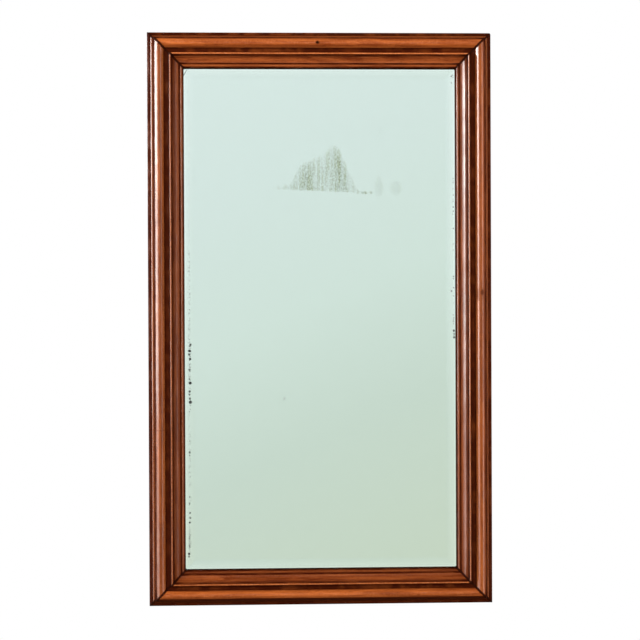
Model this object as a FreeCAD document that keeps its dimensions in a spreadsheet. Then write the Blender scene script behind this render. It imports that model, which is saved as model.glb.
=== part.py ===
import FreeCAD, Part
import math
import os
import re
import Sketcher

# A bistro mirror: a mitred walnut frame of two mouldings round a bevelled plate, with a
# panelled back and two hinged hanging rings. Lengths are in millimetres. The origin is the
# middle of the back plane. The front faces -Y, +X is the right hand of someone who looks
# into the mirror, and +Z is up.

# Driving dimensions. Distances across the moulding run inwards from its outer edge, and
# heights run forwards from the back plane.
SIZES = {
    # The frame as a whole
    "frame_width": 775,
    "frame_height": 1290,
    "mitre_gap": 0.15,
    "worn_corner": 6,
    # Outer moulding: rounded side, small bead, torus and cove
    "side_height": 15.5,
    "side_bead": 6.5,
    "side_quirk": 1.2,
    "quirk_depth": 1.6,
    "small_bead_sink": 0.6,
    "small_bead_width": 6.6,
    "small_bead_radius": 3.7,
    "torus_quirk": 1.1,
    "torus_flank": 13.5,
    "torus_radius": 12.5,
    "torus_tail": 3.5,
    "cove_drop": 2.5,
    "cove_width": 10.5,
    "cove_radius": 6.5,
    # Slip moulding: raised bead, hollow and inner bead
    "joint_step": 1,
    "flank_lean": 2.6,
    "bead_springing": 30,
    "raised_bead_width": 4.2,
    "raised_bead_radius": 2.3,
    "bead_drop": 5,
    "bead_step": 1.4,
    "hollow_radius": 14.4,
    "inner_quirk": 1.9,
    "inner_quirk_depth": 2,
    "inner_bead_width": 5.8,
    "inner_bead_radius": 3.1,
    "sight_fillet": 1.5,
    # Rebates behind the slip
    "lip_overhang": 10,
    "back_seat_width": 13,
    "back_thickness": 12,
    "plate_room": 12,
    # Mirror plate and its coat
    "plate_thickness": 5,
    "plate_side_gap": 2,
    "plate_lip_gap": 0.1,
    "bevel_width": 30,
    "bevel_drop": 2,
    "silver_thickness": 0.3,
    # Blocks that hold the plate
    "block_reach": 12,
    "block_length": 60,
    "block_back_gap": 0.5,
    # Keys across the mitres
    "key_length": 40,
    "key_waist": 9,
    "key_end": 20,
    "key_depth": 8,
    "key_inset": 29,
    "key_gap": 0.1,
    # Panelled back
    "back_edge_gap": 1,
    "back_stile_width": 70,
    "back_rail_width": 70,
    "groove_width": 4,
    "groove_depth": 8,
    "tenon_length": 35,
    "tenon_shoulder": 14,
    "tenon_end_gap": 1,
    "panel_play": 1,
    "field_rise": 3,
    "field_bevel": 30,
    "field_gap": 0.5,
    # Screws of the back
    "back_screw_inset": 7,
    "back_screw_length": 20,
    "back_screw_shank": 3.6,
    "back_screw_head": 7.6,
    "back_screw_sunk": 0.3,
    "back_screw_tip": 5,
    "back_screw_slot": 0.9,
    "screw_gap": 0.1,
    "pilot_play": 1,
    # Hanging straps and rings
    "hanger_drop": 300,
    "hanger_inset": 29,
    "strap_thickness": 1.2,
    "strap_width": 15,
    "strap_end_round": 6,
    "strap_end_margin": 11,
    "strap_hole_pitch": 15,
    "strap_ring_gap": 4,
    "ring_wire": 3,
    "ring_fit": 0.08,
    "ring_inner_width": 24,
    "ring_inner_drop": 20,
    "ring_corner": 3.5,
    "strap_screw_length": 16,
    "strap_screw_shank": 3.4,
    "strap_screw_head": 7,
    "strap_screw_dome": 2.2,
    "strap_screw_tip": 4.5,
    "strap_screw_slot": 0.9,
    # Screw hole through the top length
    "wall_hole_diameter": 5,
    "wall_hole_offset": 5,
    "wall_hole_inset": 29.4,
    # How far a cutter runs past the face that it leaves
    "overrun": 2,
}

# Places of the repeated fasteners, as shares of the half length that carries them
stile_screw_shares = (-0.86, -0.3, 0.3, 0.86)
rail_screw_shares = (-0.4, 0.4)
stile_block_shares = (-0.78, -0.26, 0.26, 0.78)
rail_block_shares = (-0.45, 0.45)

# How deep a screw's slot is, as a share of its head, and how far each next one is turned
slot_depth_share = 0.5
slot_turn = 37
countersink_angle = 90
key_turn = 45

doc = FreeCAD.newDocument("bistro_mirror")
sheet = doc.addObject("Spreadsheet::Sheet", "Sizes")
for line, (alias, amount) in enumerate(SIZES.items(), start=1):
    sheet.set(f"A{line}", alias)
    sheet.set(f"B{line}", str(amount))
    sheet.setAlias(f"B{line}", alias)
doc.recompute()


def cells(text):
    """An expression over the sheet: each alias in the text gets the sheet's name."""
    return re.sub("[a-z_]+", lambda word: "Sizes." * (word[0] in SIZES) + word[0], text)


def amount_of(text):
    """The number that an expression gives now."""
    return float(sheet.evalExpression(cells(text)))


def bind(item, prop, text):
    """Tie one property of an object to the sheet."""
    item.setExpression(prop, cells(text))


# Distances across the moulding, inwards from the outer edge
small_bead_start = "side_bead + side_quirk"
small_bead_end = f"{small_bead_start} + small_bead_width"
torus_start = f"{small_bead_end} + torus_quirk"
torus_middle = f"{torus_start} + torus_radius"
torus_end = f"{torus_middle} + sqrt(torus_radius ^ 2 - torus_tail ^ 2)"
slip_start = f"{torus_end} + cove_width"
bead_start = f"{slip_start} + flank_lean"
bead_end = f"{bead_start} + raised_bead_width"
hollow_start = f"{bead_end} + bead_step"
hollow_end = f"{hollow_start} + hollow_radius"
inner_bead_start = f"{hollow_end} + inner_quirk"
inner_bead_end = f"{inner_bead_start} + inner_bead_width"
sight_edge = f"{inner_bead_end} + sight_fillet"
plate_rebate = f"{sight_edge} - lip_overhang"
back_rebate = f"{plate_rebate} - back_seat_width"
plate_edge = f"{plate_rebate} + plate_side_gap"
back_edge = f"{back_rebate} + back_edge_gap"

# Heights, forwards from the back plane
side_top = "side_height + side_bead"
quirk_bottom = f"{side_top} - quirk_depth"
small_bead_level = f"{side_top} - small_bead_sink"
torus_level = f"{side_top} + torus_flank"
torus_foot = f"{torus_level} + torus_tail"
cove_level = f"{torus_foot} - cove_drop"
lip_back = "back_thickness + plate_room"
bead_level = f"{lip_back} + bead_springing"
hollow_top = f"{bead_level} - bead_drop"
hollow_foot = f"{hollow_top} - hollow_radius"
inner_bead_level = f"{hollow_foot} - inner_quirk_depth"
bevel_at_lip = f"bevel_drop * ({sight_edge} - ({plate_edge})) / bevel_width"
plate_back = f"{lip_back} - plate_lip_gap - plate_thickness + bevel_drop - {bevel_at_lip}"
silver_back = f"{plate_back} - silver_thickness"
groove_start = "(back_thickness - groove_width) / 2"

# The two spans of the frame
half_width = "frame_width / 2"
half_height = "frame_height / 2"


# Ways of drawing

def new_body(label):
    body = doc.addObject("PartDesign::Body", label)
    body.Label = label
    return body


def sketch_on(body, name, role, lift="0"):
    """A sketch on one of the body's own planes, moved along its normal."""
    plane = next(item for item in body.Origin.OriginFeatures if item.Role == role)
    sketch = body.newObject("Sketcher::SketchObject", name)
    sketch.AttachmentSupport = [(plane, "")]
    sketch.MapMode = "FlatFace"
    bind(sketch, "AttachmentOffset.Base.z", lift)
    return sketch


def front_sketch(body, name, lift="0"):
    """Drawn across and up, on a plane that stands lift in front of the back plane."""
    return sketch_on(body, name, "XZ_Plane", lift)


def pin_point(sketch, edge, end, across, up):
    for kind, text in (("DistanceX", across), ("DistanceY", up)):
        place = Sketcher.Constraint(kind, -1, 1, edge, end, amount_of(text))
        bind(sketch, f"Constraints[{sketch.addConstraint(place)}]", text)


def outline(sketch, corners):
    """A closed ring. A corner is (across, up), or (across, up, form, radius) where an arc
    leads on to the next corner: a round arc swells out of the ring, a hollow one cuts in."""
    count = len(corners)
    places = [FreeCAD.Vector(amount_of(corner[0]), amount_of(corner[1]), 0) for corner in corners]
    area = sum(places[i].x * places[(i + 1) % count].y - places[(i + 1) % count].x * places[i].y
               for i in range(count))
    edges = []
    for i, corner in enumerate(corners):
        start, end = places[i], places[(i + 1) % count]
        if len(corner) == 2:
            edges.append((sketch.addGeometry(Part.LineSegment(start, end)), 1, 2))
            continue
        form, radius_text = corner[2:]
        radius = amount_of(radius_text)
        chord = end - start
        leftwards = FreeCAD.Vector(-chord.y, chord.x, 0).normalize()
        turns_left = (form == "round") == (area > 0)
        rise = math.sqrt(radius ** 2 - (chord.Length / 2) ** 2)
        middle = (start + end) / 2 + leftwards * (rise if turns_left else -rise)
        angles = [math.atan2(place.y - middle.y, place.x - middle.x) for place in (start, end)]
        whole = Part.Circle(middle, FreeCAD.Vector(0, 0, 1), radius)
        if turns_left:
            edge = sketch.addGeometry(Part.ArcOfCircle(whole, angles[0], angles[1]))
            edges.append((edge, 1, 2))
        else:
            edge = sketch.addGeometry(Part.ArcOfCircle(whole, angles[1], angles[0]))
            edges.append((edge, 2, 1))
        size = sketch.addConstraint(Sketcher.Constraint("Radius", edge, radius))
        bind(sketch, f"Constraints[{size}]", radius_text)
    for i, (edge, first, last) in enumerate(edges):
        following, next_first, _ = edges[(i + 1) % count]
        sketch.addConstraint(Sketcher.Constraint("Coincident", edge, last, following, next_first))
        pin_point(sketch, edge, first, corners[i][0], corners[i][1])


def rectangle(sketch, left, low, right, high):
    outline(sketch, [(left, low), (right, low), (right, high), (left, high)])


def centred_rectangle(sketch, width, height):
    rectangle(sketch, f"- ({width}) / 2", f"- ({height}) / 2",
              f"({width}) / 2", f"({height}) / 2")


def circle(sketch, across, up, diameter):
    middle = FreeCAD.Vector(amount_of(across), amount_of(up), 0)
    radius = amount_of(diameter) / 2
    edge = sketch.addGeometry(Part.Circle(middle, FreeCAD.Vector(0, 0, 1), radius))
    pin_point(sketch, edge, 3, across, up)
    size = sketch.addConstraint(Sketcher.Constraint("Diameter", edge, 2 * radius))
    bind(sketch, f"Constraints[{size}]", diameter)


def pad(body, sketch, length, both_ways=False):
    """Material from the sketch forwards, or half to each side of it."""
    feature = body.newObject("PartDesign::Pad", f"{sketch.Label}_pad")
    feature.Profile = sketch
    feature.SideType = "Symmetric" if both_ways else "One side"
    bind(feature, "Length", length)
    return feature


def pocket(body, sketch, depth):
    """Cut from the sketch forwards, and fail if nothing was cut."""
    doc.recompute()
    before = body.Shape.Volume
    feature = body.newObject("PartDesign::Pocket", f"{sketch.Label}_pocket")
    feature.Profile = sketch
    feature.Reversed = True
    bind(feature, "Length", depth)
    doc.recompute()
    if body.Shape.Volume >= before:
        raise RuntimeError(f"{sketch.Label} cuts nothing")
    return feature


def loft(body, sections):
    feature = body.newObject("PartDesign::AdditiveLoft", f"{body.Label}_loft")
    feature.Profile = sections[0]
    feature.Sections = sections[1:]
    feature.Ruled = True
    return feature


def turned(degrees):
    """A turn in the plane of the frame."""
    return FreeCAD.Rotation(FreeCAD.Vector(0, 1, 0), degrees)


def place_copy(source, name, across, up, degrees):
    """One more of a repeated piece, moved in the back plane and turned in it."""
    copy = doc.addObject("App::Link", name)
    copy.LinkedObject = source
    copy.Placement = FreeCAD.Placement(FreeCAD.Vector(0, 0, 0), turned(degrees))
    bind(copy, "Placement.Base.x", across)
    bind(copy, "Placement.Base.z", up)
    return copy


def group(label, copies):
    """One node that holds several separate solids of the same kind."""
    compound = doc.addObject("Part::Compound", label)
    compound.Label = label
    compound.Links = copies
    return compound


# Sides of the frame: each is drawn as the top one, then turned in the plane of the frame.
# The turn, the span from the middle to the outer edge, the span along the piece, and
# which end meets the worn corner.
FRAME_SIDES = {
    "top": (0, half_height, half_width, 1),
    "right": (90, half_width, half_height, -1),
    "bottom": (180, half_height, half_width, 0),
    "left": (270, half_width, half_height, 0),
}


def outer_profile():
    return [
        ("0", "0"),
        ("0", "side_height", "round", "side_bead"),
        ("side_bead", side_top),
        ("side_bead + side_quirk / 2", quirk_bottom),
        (small_bead_start, small_bead_level, "round", "small_bead_radius"),
        (small_bead_end, small_bead_level),
        (f"{torus_start} - torus_quirk / 2", quirk_bottom),
        (torus_start, quirk_bottom),
        (torus_start, torus_level, "round", "torus_radius"),
        (torus_end, torus_foot),
        (torus_end, cove_level, "hollow", "cove_radius"),
        (slip_start, cove_level),
        (slip_start, lip_back),
        (plate_rebate, lip_back),
        (plate_rebate, "back_thickness"),
        (back_rebate, "back_thickness"),
        (back_rebate, "0"),
    ]


def slip_profile():
    return [
        (slip_start, lip_back),
        (slip_start, f"{cove_level} + joint_step"),
        (bead_start, bead_level, "round", "raised_bead_radius"),
        (bead_end, bead_level),
        (bead_end, hollow_top),
        (hollow_start, hollow_top, "hollow", "hollow_radius"),
        (hollow_end, hollow_foot),
        (hollow_end, inner_bead_level),
        (inner_bead_start, inner_bead_level, "round", "inner_bead_radius"),
        (inner_bead_end, inner_bead_level),
        (sight_edge, inner_bead_level),
        (sight_edge, lip_back),
    ]


def mitred_length(label, side, profile):
    """A length of moulding, cut at 45 degrees at both ends."""
    turn, reach, half_span, _ = FRAME_SIDES[side]
    body = new_body(label)
    section = sketch_on(body, f"{label}_section", "YZ_Plane")
    outline(section, [(f"- ({corner[1]})", f"{reach} - ({corner[0]})") + tuple(corner[2:])
                      for corner in profile])
    pad(body, section, f"2 * ({half_span})", both_ways=True)
    ends = front_sketch(body, f"{label}_mitres")
    for sign in ("-", ""):
        tip = f"{half_span} - mitre_gap"
        inner = f"{tip} - ({sight_edge}) - overrun"
        past = f"{half_span} + overrun"
        outline(ends, [
            (f"{sign} ({tip} + overrun)", f"{reach} + overrun"),
            (f"{sign} ({inner})", f"{reach} - ({sight_edge}) - overrun"),
            (f"{sign} ({past})", f"{reach} - ({sight_edge}) - overrun"),
            (f"{sign} ({past})", f"{reach} + overrun"),
        ])
    pocket(body, ends, f"{bead_level} + raised_bead_width")
    body.Placement = FreeCAD.Placement(FreeCAD.Vector(0, 0, 0), turned(turn))
    return body


def key_corner(sign, half_span, reach, along, across):
    """A place given from a key's middle: along the mitre, inwards, and across it."""
    diagonal = "sqrt(0.5)"
    return (f"{sign} ({half_span} - key_inset - ({along} + {across}) * {diagonal})",
            f"{reach} - key_inset - ({along} - {across}) * {diagonal}")


def outer_length(side):
    """A length of the outer moulding, with half a key's bed at each end."""
    turn, reach, half_span, worn_end = FRAME_SIDES[side]
    label = f"moulding_{side}"
    body = mitred_length(label, side, outer_profile())
    beds = front_sketch(body, f"{label}_key_beds")
    for sign in ("-", ""):
        corners = (("- key_waist / 2", "- overrun"), ("- key_waist / 2", "0"),
                   ("- key_end / 2", "key_length / 2"),
                   ("key_end / 2", "key_length / 2"), ("key_waist / 2", "0"),
                   ("key_waist / 2", "- overrun"))
        outline(beds, [key_corner(sign, half_span, reach, f"({along})", f"({across})")
                       for along, across in corners])
    pocket(body, beds, "key_depth + key_gap")
    if worn_end:
        wear = front_sketch(body, f"{label}_wear")
        sign = "-" if worn_end < 0 else ""
        outline(wear, [
            (f"{sign} ({half_span} + overrun)", f"{reach} + overrun"),
            (f"{sign} ({half_span} - worn_corner)", f"{reach} + overrun"),
            (f"{sign} ({half_span} - worn_corner)", reach, "hollow", "worn_corner"),
            (f"{sign} ({half_span})", f"{reach} - worn_corner"),
            (f"{sign} ({half_span} + overrun)", f"{reach} - worn_corner"),
        ])
        pocket(body, wear, f"{torus_level} + torus_radius")
    return body


# Moulded frame

mouldings = {side: outer_length(side) for side in FRAME_SIDES}
slips = {side: mitred_length(f"slip_{side}", side, slip_profile()) for side in FRAME_SIDES}


def drill(body, name, places, diameter, start, depth):
    """Round holes, forwards from a height."""
    holes = front_sketch(body, name, start)
    for across, up in places:
        circle(holes, across, up, diameter)
    pocket(body, holes, depth)


back_half_width = f"({half_width} - ({back_edge}))"
back_half_height = f"({half_height} - ({back_edge}))"
back_screw_places = {"top": [], "right": [], "bottom": [], "left": []}
for side in FRAME_SIDES:
    upright = side in ("left", "right")
    shares = stile_screw_shares if upright else rail_screw_shares
    carrier = back_half_height if upright else back_half_width
    for share in shares:
        back_screw_places[side].append(f"{share} * {carrier}")

back_pilot = "back_screw_shank + 2 * screw_gap"
back_pilot_depth = "back_screw_length + back_screw_sunk - back_thickness + pilot_play"
for side, (_, reach, _, _) in FRAME_SIDES.items():
    up = f"{reach} - ({back_edge}) - back_screw_inset"
    drill(mouldings[side], f"moulding_{side}_back_pilots",
          [(along, up) for along in back_screw_places[side]],
          back_pilot, "back_thickness", back_pilot_depth)

hanger_up = f"({half_height} - hanger_drop)"
strap_pilot = "strap_screw_shank + 2 * screw_gap"
ring_foot = "(ring_inner_drop + 3 * ring_wire / 2)"
first_hole = f"({ring_foot} + strap_ring_gap + strap_screw_head / 2)"
second_hole = f"({first_hole} + strap_hole_pitch)"
strap_length = f"({second_hole} + strap_end_margin)"
strap_hole_drops = (first_hole, second_hole)
for side, sign in (("left", ""), ("right", "-")):
    drill(mouldings[side], f"moulding_{side}_strap_pilots",
          [(f"{sign}({hanger_up} - {drop})", f"{half_width} - hanger_inset")
           for drop in strap_hole_drops],
          strap_pilot, "0", "strap_screw_length - strap_thickness + pilot_play")

drill(mouldings["top"], "moulding_top_wall_hole",
      [("-wall_hole_offset", f"{half_height} - wall_hole_inset")],
      "wall_hole_diameter", "0", f"{torus_level} + torus_radius")


# Keys let in across the mitres

key_pattern = new_body("key_pattern")
key_face = front_sketch(key_pattern, "key_face")
key_side = "(key_length / 2 - key_gap)"
key_wide = "(key_end / 2 - key_gap)"
key_narrow = "(key_waist / 2 - key_gap)"
outline(key_face, [
    (f"-{key_side}", f"-{key_wide}"), ("0", f"-{key_narrow}"), (key_side, f"-{key_wide}"),
    (key_side, key_wide), ("0", key_narrow), (f"-{key_side}", key_wide),
])
pad(key_pattern, key_face, "key_depth")

key_copies = []
for across_sign in ("", "-"):
    for up_sign in ("", "-"):
        key_copies.append(place_copy(
            key_pattern, f"mitre_key_{len(key_copies) + 1}",
            f"{across_sign}({half_width} - key_inset)", f"{up_sign}({half_height} - key_inset)",
            key_turn if across_sign == up_sign else -key_turn))
mitre_keys = group("mitre_keys", key_copies)


# Mirror plate, its silvering and the blocks that hold it

plate_width = f"2 * ({half_width} - ({plate_edge}))"
plate_height = f"2 * ({half_height} - ({plate_edge}))"

mirror_glass = new_body("mirror_glass")
plate_outline = front_sketch(mirror_glass, "plate_outline", plate_back)
centred_rectangle(plate_outline, plate_width, plate_height)
pad(mirror_glass, plate_outline, "plate_thickness - bevel_drop")
bevel_foot = front_sketch(mirror_glass, "bevel_foot", f"{plate_back} + plate_thickness - bevel_drop")
centred_rectangle(bevel_foot, plate_width, plate_height)
bevel_top = front_sketch(mirror_glass, "bevel_top", f"{plate_back} + plate_thickness")
centred_rectangle(bevel_top, f"{plate_width} - 2 * bevel_width", f"{plate_height} - 2 * bevel_width")
loft(mirror_glass, [bevel_foot, bevel_top])

silvering = new_body("silvering")
silver_outline = front_sketch(silvering, "silver_outline", silver_back)
centred_rectangle(silver_outline, plate_width, plate_height)
pad(silvering, silver_outline, "silver_thickness")

block_pattern = new_body("block_pattern")
block_section = sketch_on(block_pattern, "block_section", "YZ_Plane")
outline(block_section, [
    (f"-({silver_back})", f"-({plate_rebate})"),
    ("-(back_thickness + block_back_gap)", f"-({plate_rebate})"),
    (f"-({silver_back})", f"-({plate_rebate} + block_reach)"),
])
pad(block_pattern, block_section, "block_length", both_ways=True)

block_copies = []
for side, (turn, _, _, _) in FRAME_SIDES.items():
    upright = side in ("left", "right")
    sign = "-" if side in ("left", "bottom") else ""
    for share in stile_block_shares if upright else rail_block_shares:
        if upright:
            across, up = f"{sign}{half_width}", f"{share} * ({plate_height}) / 2"
        else:
            across, up = f"{share} * ({plate_width}) / 2", f"{sign}{half_height}"
        name = f"glass_block_{len(block_copies) + 1}"
        block_copies.append(place_copy(block_pattern, name, across, up, turn))
glass_blocks = group("glass_blocks", block_copies)


# Panelled back

rail_half_length = f"({back_half_width} - back_stile_width)"
opening_height = f"({back_half_height} - 3 * back_rail_width / 2)"
rail_middles = {
    "top": f"({back_half_height} - back_rail_width / 2)",
    "middle": "0",
    "bottom": f"(-{back_half_height} + back_rail_width / 2)",
}
screw_seat = "back_screw_head + 2 * (back_screw_sunk + screw_gap)"


def countersunk_holes(body, name, places):
    """Clearance holes for the screws of the back, sunk from the wall side."""
    holes = front_sketch(body, name)
    for across, up in places:
        circle(holes, across, up, back_pilot)
    doc.recompute()
    before = body.Shape.Volume
    hole = body.newObject("PartDesign::Hole", f"{name}_sunk")
    hole.Profile = holes
    hole.Reversed = True
    hole.DepthType = "ThroughAll"
    hole.HoleCutType = "Countersink"
    hole.HoleCutCustomValues = True
    hole.HoleCutCountersinkAngle = countersink_angle
    bind(hole, "Diameter", back_pilot)
    bind(hole, "HoleCutDiameter", screw_seat)
    doc.recompute()
    if body.Shape.Volume >= before:
        raise RuntimeError(f"{name} cuts nothing")


def back_stile(side):
    label = f"back_stile_{side}"
    body = new_body(label)
    sign = "-" if side == "left" else ""
    face = front_sketch(body, f"{label}_face")
    rectangle(face, f"{sign}{rail_half_length}", f"-{back_half_height}",
              f"{sign}{back_half_width}", back_half_height)
    pad(body, face, "back_thickness")
    groove = front_sketch(body, f"{label}_groove", groove_start)
    rectangle(groove, f"{sign}({rail_half_length} - overrun)", f"-{back_half_height} - overrun",
              f"{sign}({rail_half_length} + groove_depth)", f"{back_half_height} + overrun")
    pocket(body, groove, "groove_width")
    mortises = front_sketch(body, f"{label}_mortises", groove_start)
    for middle in rail_middles.values():
        rectangle(mortises, f"{sign}({rail_half_length} - overrun)",
                  f"{middle} - back_rail_width / 2 + tenon_shoulder",
                  f"{sign}({rail_half_length} + tenon_length + tenon_end_gap)",
                  f"{middle} + back_rail_width / 2 - tenon_shoulder")
    pocket(body, mortises, "groove_width")
    across = f"{sign}({back_half_width} - back_screw_inset)"
    countersunk_holes(body, f"{label}_screw_holes",
                      [(across, along) for along in back_screw_places[side]])
    return body


def back_rail(level, grooved_edges):
    """A rail with a haunched tenon at each end, grooved along the edges that take a panel."""
    label = f"back_rail_{level}"
    middle = rail_middles[level]
    body = new_body(label)
    face = front_sketch(body, f"{label}_face")
    rectangle(face, f"-{rail_half_length}", f"{middle} - back_rail_width / 2",
              rail_half_length, f"{middle} + back_rail_width / 2")
    pad(body, face, "back_thickness")
    for name, reach, shoulder in (("haunches", "groove_depth", "0"),
                                  ("tenons", "tenon_length", "tenon_shoulder")):
        ends = front_sketch(body, f"{label}_{name}", groove_start)
        rectangle(ends, f"-({rail_half_length} + {reach})",
                  f"{middle} - back_rail_width / 2 + {shoulder}",
                  f"{rail_half_length} + {reach}",
                  f"{middle} + back_rail_width / 2 - {shoulder}")
        pad(body, ends, "groove_width")
    for edge in grooved_edges:
        groove = front_sketch(body, f"{label}_groove_{'above' if edge > 0 else 'below'}", groove_start)
        rectangle(groove, f"-{rail_half_length} - tenon_length - overrun",
                  f"{middle} + {edge} * (back_rail_width / 2 - groove_depth)",
                  f"{rail_half_length} + tenon_length + overrun",
                  f"{middle} + {edge} * (back_rail_width / 2 + overrun)")
        pocket(body, groove, "groove_width")
    if level in back_screw_places:
        edge = "" if level == "top" else "-"
        up = f"{edge}({back_half_height} - back_screw_inset)"
        countersunk_holes(body, f"{label}_screw_holes",
                          [(along, up) for along in back_screw_places[level]])
    return body


def back_panel(level, sign):
    """A loose panel: a flat tongue in the grooves, with a bevelled field on the wall side."""
    label = f"back_panel_{level}"
    body = new_body(label)
    middle = f"{sign}(back_rail_width + {opening_height}) / 2"

    def face(name, lift, grow):
        sketch = front_sketch(body, f"{label}_{name}", lift)
        rectangle(sketch, f"-{rail_half_length} - ({grow})",
                  f"{middle} - {opening_height} / 2 - ({grow})",
                  f"{rail_half_length} + ({grow})",
                  f"{middle} + {opening_height} / 2 + ({grow})")
        return sketch

    pad(body, face("tongue", groove_start, "groove_depth - panel_play"), "groove_width")
    loft(body, [face("field_foot", groove_start, "-field_gap"),
                face("field_top", f"{groove_start} - field_rise", "-field_gap - field_bevel")])
    return body


back_stiles = [back_stile(side) for side in ("left", "right")]
back_rails = [back_rail("top", (-1,)), back_rail("middle", (-1, 1)), back_rail("bottom", (1,))]
back_panels = [back_panel("upper", ""), back_panel("lower", "-")]


# Screws

def revolved(body, section):
    """Turn a section about the line that runs from back to front."""
    feature = body.newObject("PartDesign::Revolution", f"{section.Label}_turned")
    feature.Profile = section
    feature.ReferenceAxis = (section, ["H_Axis"])
    feature.Angle = 360
    return feature


def cut_slot(body, head, face_height, width, depth):
    slot = front_sketch(body, f"{body.Label}_slot", face_height)
    centred_rectangle(slot, f"{head} + overrun", width)
    pocket(body, slot, depth)


back_screw = new_body("back_screw_pattern")
back_screw_section = sketch_on(back_screw, "back_screw_section", "YZ_Plane")
back_screw_cone = "(back_screw_head - back_screw_shank) / 2"
outline(back_screw_section, [
    ("-back_screw_sunk", "0"),
    ("-back_screw_sunk", "back_screw_head / 2"),
    (f"-back_screw_sunk - {back_screw_cone}", "back_screw_shank / 2"),
    ("-back_screw_sunk - back_screw_length + back_screw_tip", "back_screw_shank / 2"),
    ("-back_screw_sunk - back_screw_length", "0"),
])
revolved(back_screw, back_screw_section)
cut_slot(back_screw, "back_screw_head", "back_screw_sunk", "back_screw_slot",
         f"{slot_depth_share} * {back_screw_cone}")

back_screw_copies = []
for side, alongs in back_screw_places.items():
    upright = side in ("left", "right")
    sign = "-" if side in ("left", "bottom") else ""
    carrier = back_half_width if upright else back_half_height
    for along in alongs:
        inset = f"{sign}({carrier} - back_screw_inset)"
        across, up = (inset, along) if upright else (along, inset)
        count = len(back_screw_copies) + 1
        name = f"back_screw_{count}"
        back_screw_copies.append(place_copy(back_screw, name, across, up, slot_turn * count))
back_screws = group("back_screws", back_screw_copies)


# Hanging straps and rings

knuckle_bore = "(ring_wire / 2 + ring_fit)"
pivot_back = f"({knuckle_bore} + strap_thickness)"
ring_half_width = "((ring_inner_width + ring_wire) / 2)"
ring_drop = "(ring_inner_drop + ring_wire)"


def hang(body, sign):
    """Stand a hanging piece on its pivot's place on the back of the frame."""
    bind(body, "Placement.Base.x", f"{sign}({half_width} - hanger_inset)")
    bind(body, "Placement.Base.z", hanger_up)


def hanger_strap(side, sign):
    label = f"hanger_strap_{side}"
    body = new_body(label)
    leaf = front_sketch(body, f"{label}_leaf", "-strap_thickness")
    outline(leaf, [
        ("-strap_width / 2", "0"),
        ("-strap_width / 2", f"strap_end_round - {strap_length}", "round", "strap_end_round"),
        ("strap_end_round - strap_width / 2", f"-{strap_length}"),
        ("strap_width / 2 - strap_end_round", f"-{strap_length}", "round", "strap_end_round"),
        ("strap_width / 2", f"strap_end_round - {strap_length}"),
        ("strap_width / 2", "0"),
    ])
    for drop in strap_hole_drops:
        circle(leaf, "0", f"-{drop}", strap_pilot)
    pad(body, leaf, "strap_thickness")
    knuckle = sketch_on(body, f"{label}_knuckle", "YZ_Plane")
    circle(knuckle, pivot_back, "0", f"2 * {pivot_back}")
    circle(knuckle, pivot_back, "0", f"2 * {knuckle_bore}")
    pad(body, knuckle, "strap_width", both_ways=True)
    hang(body, sign)
    return body


def hanger_ring(side, sign):
    """A D-shaped ring of round wire, hanging from its straight bar."""
    label = f"hanger_ring_{side}"
    body = new_body(label)
    wire = sketch_on(body, f"{label}_wire", "YZ_Plane")
    circle(wire, pivot_back, "0", "ring_wire")
    route = front_sketch(body, f"{label}_route", f"-{pivot_back}")
    leg_foot = f"({ring_half_width} - {ring_drop})"
    outline(route, [
        ("0", "0"),
        (f"{ring_half_width} - ring_corner", "0", "round", "ring_corner"),
        (ring_half_width, "-ring_corner"),
        (ring_half_width, leg_foot, "round", ring_half_width),
        ("0", f"-{ring_drop}", "round", ring_half_width),
        (f"-{ring_half_width}", leg_foot),
        (f"-{ring_half_width}", "-ring_corner", "round", "ring_corner"),
        (f"ring_corner - {ring_half_width}", "0"),
    ])
    doc.recompute()
    tube = body.newObject("PartDesign::AdditivePipe", f"{label}_tube")
    tube.Profile = wire
    tube.Spine = (route, [f"Edge{number + 1}" for number in range(len(route.Shape.Edges))])
    hang(body, sign)
    return body


hanger_straps = [hanger_strap("left", "-"), hanger_strap("right", "")]
hanger_rings = [hanger_ring("left", "-"), hanger_ring("right", "")]

strap_screw = new_body("strap_screw_pattern")
strap_screw_section = sketch_on(strap_screw, "strap_screw_section", "YZ_Plane")
dome_radius = "((strap_screw_head ^ 2 / 4 + strap_screw_dome ^ 2) / (2 * strap_screw_dome))"
outline(strap_screw_section, [
    ("strap_thickness + strap_screw_dome", "0", "round", dome_radius),
    ("strap_thickness", "strap_screw_head / 2"),
    ("strap_thickness", "strap_screw_shank / 2"),
    ("strap_thickness - strap_screw_length + strap_screw_tip", "strap_screw_shank / 2"),
    ("strap_thickness - strap_screw_length", "0"),
])
revolved(strap_screw, strap_screw_section)
cut_slot(strap_screw, "strap_screw_head", "-strap_thickness - strap_screw_dome",
         "strap_screw_slot", f"{slot_depth_share} * strap_screw_dome")

strap_screw_copies = []
for sign in ("-", ""):
    for drop in strap_hole_drops:
        count = len(strap_screw_copies) + 1
        name = f"hanger_screw_{count}"
        strap_screw_copies.append(place_copy(
            strap_screw, name, f"{sign}({half_width} - hanger_inset)", f"{hanger_up} - {drop}",
            slot_turn * count))
hanger_screws = group("hanger_screws", strap_screw_copies)


# Finish: recompute, test every object and write one file for each node

nodes = [*mouldings.values(), *slips.values(), mirror_glass, silvering, glass_blocks,
         mitre_keys, *back_stiles, *back_rails, *back_panels, back_screws,
         *hanger_straps, *hanger_rings, hanger_screws]

doc.recompute()
for item in doc.Objects:
    if "Invalid" in item.State or "Error" in item.State:
        raise RuntimeError(f"{item.Label} failed: {item.State}")
for node in nodes:
    if node.Shape.isNull() or not node.Shape.isValid():
        raise RuntimeError(f"{node.Label} has no valid shape")

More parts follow.
